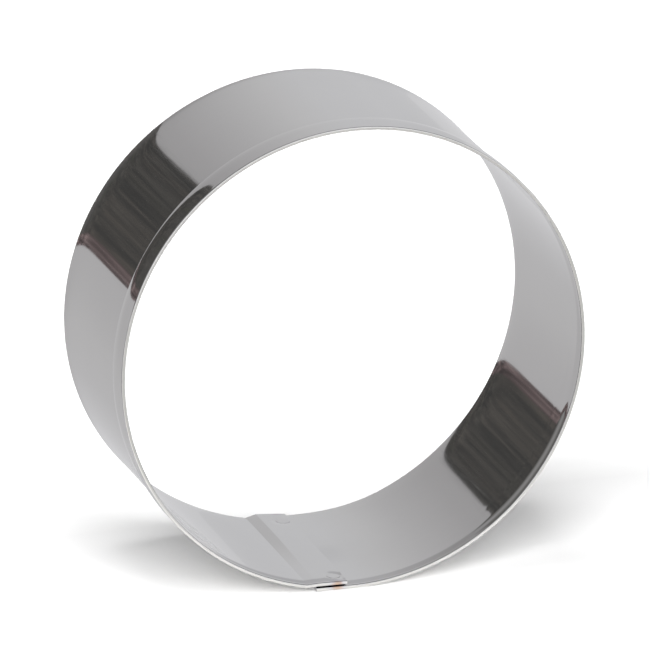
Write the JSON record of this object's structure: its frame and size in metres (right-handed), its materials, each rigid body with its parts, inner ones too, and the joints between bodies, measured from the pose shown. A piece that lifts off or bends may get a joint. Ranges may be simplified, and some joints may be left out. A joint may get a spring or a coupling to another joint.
{
  "type": "biscuit cutter",
  "caption": "Plain round steel cutting ring with a folded safety hem, a thin cutting edge and a joggled, spot-welded lap joint.",
  "frame": {"origin": "centre of the cutting edge's circle, on the surface that the ring stands on", "axes": "+Z along the ring's axis, from the cutting edge up to the hem; -Y towards the lap joint"},
  "size_m": [0.0816, 0.082, 0.035],
  "materials": {
    "polished_steel": "bright mirror-polished stainless sheet with faint rolling lines and handling scratches",
    "weld_steel": "spot weld with a shallow dent and a brown heat tint"
  },
  "bodies": {
    "root": {"ring_band": "polished_steel", "hem_weld": "weld_steel", "edge_weld": "weld_steel"}
  },
  "joints": []
}
